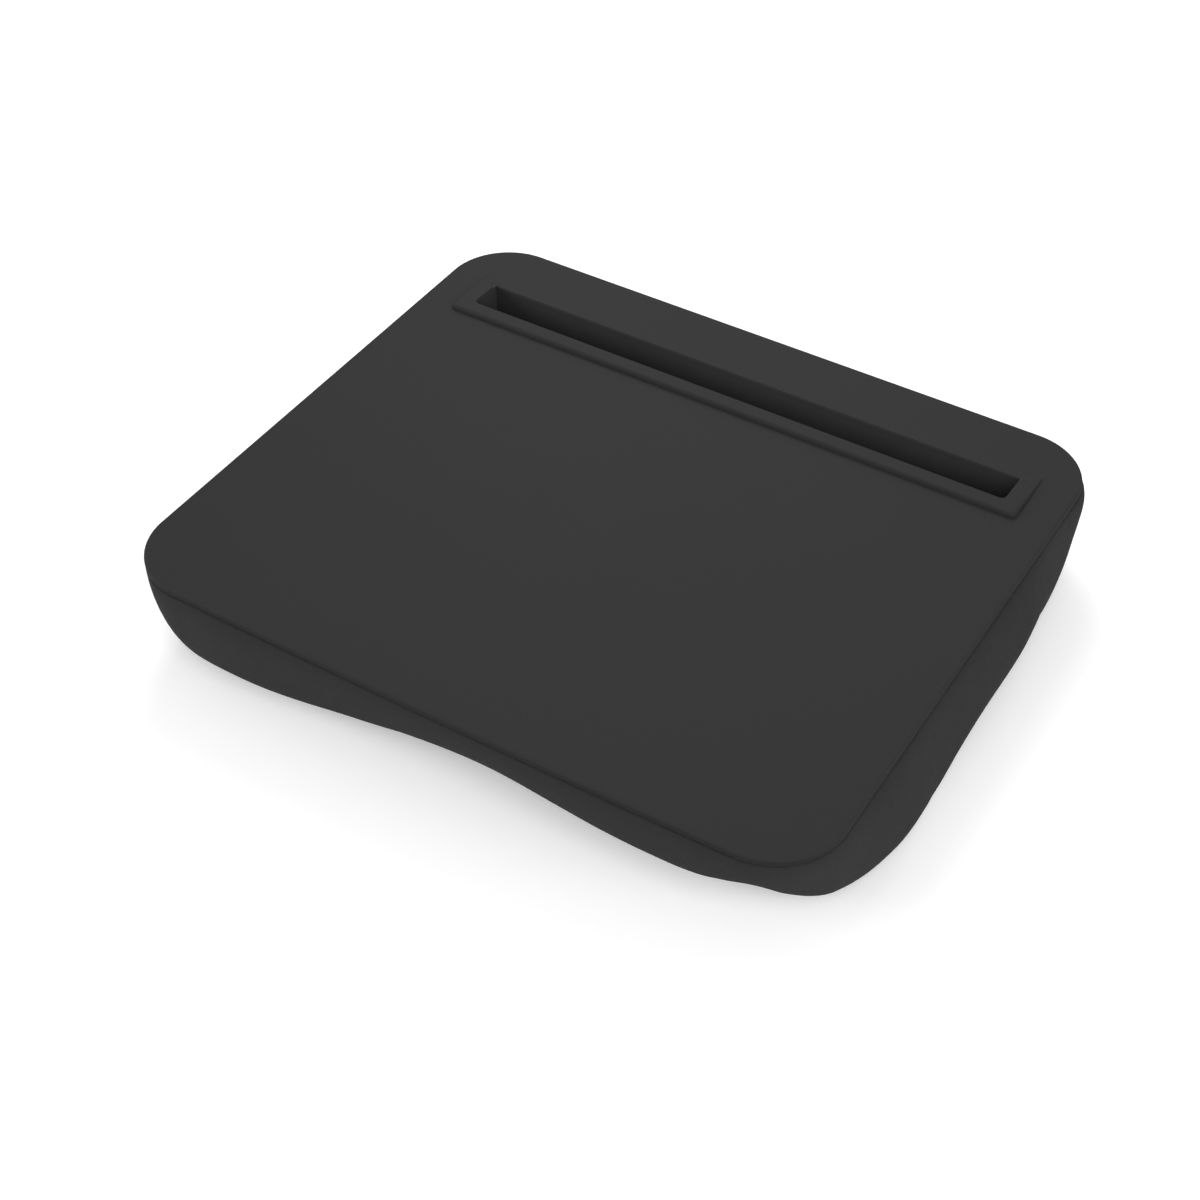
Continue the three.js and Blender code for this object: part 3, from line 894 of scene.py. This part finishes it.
def coverRows():
    # rows of points from the hem's inner edge, over the fold, down the side and in under the base
    stations = [Station(*place) for place in outline(0, cushion["steps"])]
    fold = cushion["fold"]
    rows = []
    for i in range(cushion["hemRows"]):
        inset = hem["width"] + (fold - hem["width"]) * i / cushion["hemRows"]
        rows.append([Vector((x, y, hemTop)) for x, y, nx, ny in outline(inset, cushion["steps"])])
    for i in range(cushion["foldRows"]):
        a = quarter * i / cushion["foldRows"]
        drop = fold * (1 - math.cos(a))
        t = math.asin(drop / sideDrop) / quarter
        rows.append([s.at(t) - s.out * (fold * (1 - math.sin(a))) for s in stations])
    start = math.asin(fold / sideDrop) / quarter
    for i in range(cushion["sideRows"] + 1):
        t = start + (groundT - start) * i / cushion["sideRows"]
        rows.append([s.at(t) for s in stations])
    foot = rows[-1]
    for point in foot:
        point.z = 0
    for i in range(1, cushion["baseRings"]):
        share = 1 - i / cushion["baseRings"]
        rows.append([Vector((p.x * share, p.y * share, 0)) for p in foot])
    return rows


def rowFaces(rows):
    # quads between rows of points that run round
    count = len(rows[0])
    faces = []
    for low in range(0, (len(rows) - 1) * count, count):
        high = low + count
        for j in range(count):
            k = (j + 1) % count
            faces.append([low + j, high + j, high + k, low + k])
    return faces


def relax(piece, pinned):
    # lets the cloth fill out between the seam and the base, and keeps the moves small
    group = piece.vertex_groups.new(name="held")
    for index, weight in enumerate(pinned):
        if weight > 0:
            group.add([index], weight, "REPLACE")
    drape = piece.modifiers.new("drape", "CLOTH")
    cloth = drape.settings
    cloth.quality = cushion["quality"]
    cloth.mass = cushion["mass"]
    cloth.tension_stiffness = cloth.compression_stiffness = cushion["stiff"]
    cloth.shear_stiffness = cushion["shear"]
    cloth.bending_stiffness = cushion["bend"]
    cloth.use_pressure = True
    cloth.uniform_pressure_force = cushion["pressure"]
    cloth.shrink_min = cushion["slack"]
    cloth.effector_weights.gravity = 0
    cloth.vertex_group_mass = "held"
    drape.collision_settings.use_collision = False
    drape.collision_settings.use_self_collision = False
    drape.point_cache.frame_end = cushion["frames"]
    rest = [v.co.copy() for v in piece.data.vertices]
    normals = [v.normal.copy() for v in piece.data.vertices]
    for step in range(1, cushion["frames"] + 1):
        scene.frame_set(step)
    graph = bpy.context.evaluated_depsgraph_get()
    settled = [v.co.copy() for v in piece.evaluated_get(graph).data.vertices]
    piece.modifiers.clear()
    scene.frame_set(1)
    most = 0
    for i, vert in enumerate(piece.data.vertices):
        move = settled[i] - rest[i]
        up = move.dot(normals[i])
        slide = move - normals[i] * up
        most = max(most, up)
        limit = (cushion["swellMost"] if up > 0 else cushion["sinkMost"]) * mm
        up = limit * math.tanh(up / limit)
        if slide.length > cushion["slideMost"] * mm:
            slide *= cushion["slideMost"] * mm / slide.length
        vert.co = rest[i] + (normals[i] * up + slide) * (1 - pinned[i])
        vert.co.z = max(vert.co.z, 0)
    piece.vertex_groups.clear()
    print("cushion relaxed, largest swell before the limit:", round(most / mm, 2), "mm")


def makeCover():
    rows = coverRows()
    count = len(rows[0])
    firstFree = cushion["hemRows"] + cushion["foldRows"]
    footRow = firstFree + cushion["sideRows"]
    seamRow = rows[firstFree]
    run = [0.0]
    for j in range(count):
        run.append(run[-1] + (seamRow[(j + 1) % count] - seamRow[j]).length * mm)
    down = [[0.0] * count]
    for upper, lower in zip(rows[:-1], rows[1:]):
        down.append([down[-1][j] + (lower[j] - upper[j]).length * mm for j in range(count)])

    def weaveAt(i, j, flat):
        point = rows[i][j % count]
        return (point.x * mm, point.y * mm) if flat else (run[j], down[i][j % count])

    maps = []
    for i in range(len(rows) - 1):
        for j in range(count):
            corners = [(i, j), (i + 1, j), (i + 1, j + 1), (i, j + 1)]
            maps.append([weaveAt(row, column, i >= footRow) for row, column in corners])
    points = [tuple(p) for row in rows for p in row] + [(0, 0, 0)]
    faces = rowFaces(rows)
    middle = len(points) - 1
    last = middle - count
    for j in range(count):
        faces.append([last + j, middle, last + (j + 1) % count])
        maps.append([weaveAt(-1, j, True), (0, 0), weaveAt(-1, j + 1, True)])
    piece = newPiece("cushionCover", points, faces)
    weave = piece.data.uv_layers.new(name="weave")
    for face, corners in zip(piece.data.polygons, maps):
        for loop, corner in zip(face.loop_indices, corners):
            weave.data[loop].uv = corner
    # painted shade: a band below the seam, darkest at the seam, that the cloth's finish darkens
    seam = piece.data.attributes.new("seam", "FLOAT", "POINT")
    for i in range(footRow):
        for j in range(count):
            below = max(down[i][j] - down[firstFree][j], 0) / (cushion["seamShade"] * mm)
            seam.data[i * count + j].value = max(1 - below, 0) ** 2
    pinned = []
    for i in range(len(rows)):
        rise = clamp01((i - firstFree) / cushion["freeRows"])
        sink = clamp01((footRow - i) / cushion["settleRows"])
        pinned += [1 - min(rise, sink)] * count
    pinned.append(1)
    relax(piece, pinned)
    wall = piece.modifiers.new("wall", "SOLIDIFY")
    wall.thickness = hem["cloth"] * mm
    wall.offset = -1
    asPlainMesh(piece)
    piece.data.polygons.foreach_set("use_smooth", [True] * len(piece.data.polygons))
    return dress(piece, "coverCloth", "cover_fabric", "cushion_cover")


cushionCover = makeCover()
print("cover made, faces:", len(cushionCover.data.polygons))


# Lining and beads inside, as the solids have them
inside = {
    "lining": 1, "facetRoom": 0.7, "levels": 18, "smooth": 40,
    "steps": {"corner": 12, "front": 40, "side": 34, "back": 40},
}
liningTop = ringBottom - hem["headHeight"] - 2 * fitGap
liningBottom = liningTop - inside["lining"]
fillingTop = liningBottom - fitGap
fillingBottom = hem["cloth"] + fitGap
wellBottom = troughBottom - fitGap - inside["lining"]
insideDepth = hem["cloth"] + fitGap + inside["facetRoom"]
insideStations = [Station(*place) for place in outline(0, inside["steps"])]


def makeLining():
    edge = [s.at(s.reach(liningTop, insideDepth), insideDepth) for s in insideStations]
    plan = rectangle(
        -troughHalf - fitGap, troughHalf + fitGap, troughFront - fitGap, troughBack + fitGap)
    bm = bmesh.new()
    rim = newRing(bm, [(p.x, p.y) for p in edge], liningTop)
    mouth = newRing(bm, plan, liningTop)
    floor = newRing(bm, plan, wellBottom + inside["lining"])
    fillBetween(bm, rim, mouth)
    bridge(bm, mouth, floor)
    bm.faces.new(floor)
    bmesh.ops.recalc_face_normals(bm, faces=bm.faces)
    up = max(bm.faces, key=lambda face: face.calc_area())
    if up.normal.z < 0:
        bmesh.ops.reverse_faces(bm, faces=bm.faces)
    weave = bm.loops.layers.uv.new("weave")
    for face in bm.faces:
        for loop in face.loops:
            loop[weave].uv = (loop.vert.co.x + loop.vert.co.z, loop.vert.co.y + loop.vert.co.z)
    piece = fromBmesh("cushionLining", bm)
    wall = piece.modifiers.new("wall", "SOLIDIFY")
    wall.thickness = inside["lining"] * mm
    wall.offset = -1
    wall.use_even_offset = True
    asPlainMesh(piece)
    cutArea = sum(face.area for face in piece.data.polygons) / 2
    print("lining area:", round(cutArea, 4), "of size", [round(v, 4) for v in piece.dimensions])
    return dress(piece, "liningCloth", "lining_fabric", "cushion_lining")


def makeFilling():
    starts = [s.reach(fillingTop, insideDepth) for s in insideStations]
    rows = []
    for level in range(inside["levels"] + 1):
        share = level / inside["levels"]
        rows.append([
            s.at(t + (groundT - t) * share, insideDepth) for s, t in zip(insideStations, starts)])
    for point in rows[-1]:
        point.z = fillingBottom
    points = [tuple(p) for row in rows for p in row] + [(0, 0, fillingTop), (0, 0, fillingBottom)]
    faces = rowFaces(rows)
    count = len(insideStations)
    last = (len(rows) - 1) * count
    for j in range(count):
        k = (j + 1) % count
        faces.append([j, k, len(points) - 2])
        faces.append([last + j, len(points) - 1, last + k])
    piece = newPiece("beadFilling", points, faces)
    room = 2 * fitGap + inside["lining"]
    carve(piece, ("DIFFERENCE", troughRoom("well", room, wellBottom - fitGap, fillingTop + bite)))
    shadeByAngle(piece, inside["smooth"])
    return dress(piece, "pressedBeads", "beads", "bead_filling")


beadFilling = makeFilling()
cushionLining = makeLining()
print("lining and beads made")


# Pan head screws with a cross recess, driven up through the ring
screw = {
    "headRadius": 3, "domeFlat": 1.8, "domeEdge": 2.58, "domeRise": 0.35,
    "headSide": 0.9, "headEase": 0.15, "sides": 20, "smooth": 40,
    "core": 1.16, "pitch": 0.8, "threadFrom": 0.3, "crest": 0.32, "root": 0.64, "tip": 1.5,
    "recess": 1.1, "recessHalf": 1.65, "blade": 0.45, "seed": 7,
}


def makeScrews():
    headTop = ringBottom - fitGap
    headLow = headTop - hem["headHeight"]
    tip = board["top"] - hem["topSkin"] - fitGap
    radius = screw["headRadius"]
    core = screw["core"]
    profile = [
        (0, headLow), (screw["domeFlat"], headLow), (screw["domeEdge"], headLow + screw["domeRise"]),
        (radius, headTop - screw["headSide"]), (radius, headTop - screw["headEase"]),
        (radius - screw["headEase"], headTop), (core, headTop),
    ]
    for i in range(int((tip - screw["tip"] - headTop) / screw["pitch"])):
        z = headTop + screw["threadFrom"] + i * screw["pitch"]
        profile += [
            (core, z), (hem["screwRadius"], z + screw["crest"]), (core, z + screw["root"])]
    profile += [(core, tip - screw["tip"]), (0, tip)]
    piece = turned("screw", profile, screw["sides"])
    blade = screw["blade"]
    wide = screw["recessHalf"]
    cut = (headLow - bite, headLow + screw["recess"])
    carve(
        piece,
        ("DIFFERENCE", block("slit", -wide, wide, -blade, blade, *cut)),
        ("DIFFERENCE", block("slit", -blade, blade, -wide, wide, *cut)))
    shadeByAngle(piece, screw["smooth"])
    screws = setOutCopies(
        "frameScrews", piece, screwPlaces(), "platedSteel", quarter, screw["seed"])
    return dress(
        screws, "platedSteel", "screw_steel",
        *sorted(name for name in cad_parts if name.startswith("frame_screw_")))


frameScrews = makeScrews()
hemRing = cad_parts["hem_frame"]
hemRing.data.materials.clear()
hemRing.data.materials.append(finishes["ringPlastic"])
print("screws set out, ring finished")


# Studio: pale floor, even sky, soft lamps, and the photograph's viewpoint (metres)
studio = {
    "floor": 6, "floorTone": 0.93, "floorGlow": 0.178, "floorRough": 0.9,
    "fibre": 300, "fibreDetail": 2, "fibreShade": 0.995, "sky": 0.353, "aim": (0, 0, 0.03),
    "lamps": {  # place, size and power
        "frontRight": ((0.8, -1, 1.25), 1.2, 12.8),
        "lowLeft": ((-1.4, -1.1, 0.45), 1.2, 21.5),
        "lowRight": ((1.7, -0.3, 0.6), 1.2, 14.6),
        "backLeft": ((-0.4, 0.6, 0.8), 0.6, 4.9),
        "back": ((-0.2, 1.4, 1.2), 1.2, 5),
    },
}
camera = {
    "place": (0.4024, -0.6793, 0.7482), "ahead": (-0.3782, 0.6183, -0.689),
    "right": (0.8518, 0.5239, 0.0026), "lens": 62.74, "sensor": 36,
}


def setStudio():
    half = studio["floor"] / mm
    corners = [(x, y, 0) for x, y in rectangle(-half, half, -half, half)]
    floor = newPiece("floor", corners, [[0, 1, 2, 3]])
    paper = Finish("floorPaper")
    fibre = paper.noise(paper.place(), studio["fibre"], studio["fibreDetail"])
    low = tone(studio["floorTone"] * studio["fibreShade"])
    floor.data.materials.append(paper.cover({
        "Base Color": paper.mixColour(fibre, low, tone(studio["floorTone"])),
        "Roughness": studio["floorRough"], "Specular IOR Level": 0.0,
        "Emission Color": tone(1), "Emission Strength": studio["floorGlow"]}))
    world = bpy.data.worlds.new("studioSky")
    scene.world = world
    world.use_nodes = True
    world.node_tree.nodes["Background"].inputs["Color"].default_value = (1, 1, 1, 1)
    world.node_tree.nodes["Background"].inputs["Strength"].default_value = studio["sky"]
    for name, (place, size, power) in studio["lamps"].items():
        data = bpy.data.lights.new(name, "AREA")
        data.shape = "DISK"
        data.size = size
        data.energy = power
        holder = bpy.data.objects.new(name, data)
        holder.location = place
        aim = Vector(studio["aim"]) - Vector(place)
        holder.rotation_euler = aim.to_track_quat("-Z", "Y").to_euler()
        holder.visible_camera = False  # other views may look towards a lamp
        scene.collection.objects.link(holder)
    scene.view_settings.view_transform = "Standard"


def setCamera():
    data = bpy.data.cameras.new("photoView")
    data.lens = camera["lens"]
    data.sensor_width = camera["sensor"]
    holder = bpy.data.objects.new("photoView", data)
    ahead = Vector(camera["ahead"]).normalized()
    right = Vector(camera["right"])
    right = (right - ahead * right.dot(ahead)).normalized()
    turn = Matrix((right, right.cross(ahead), -ahead)).transposed()
    holder.matrix_world = Matrix.Translation(camera["place"]) @ turn.to_4x4()
    scene.collection.objects.link(holder)
    scene.camera = holder


setStudio()
setCamera()
print("studio set")
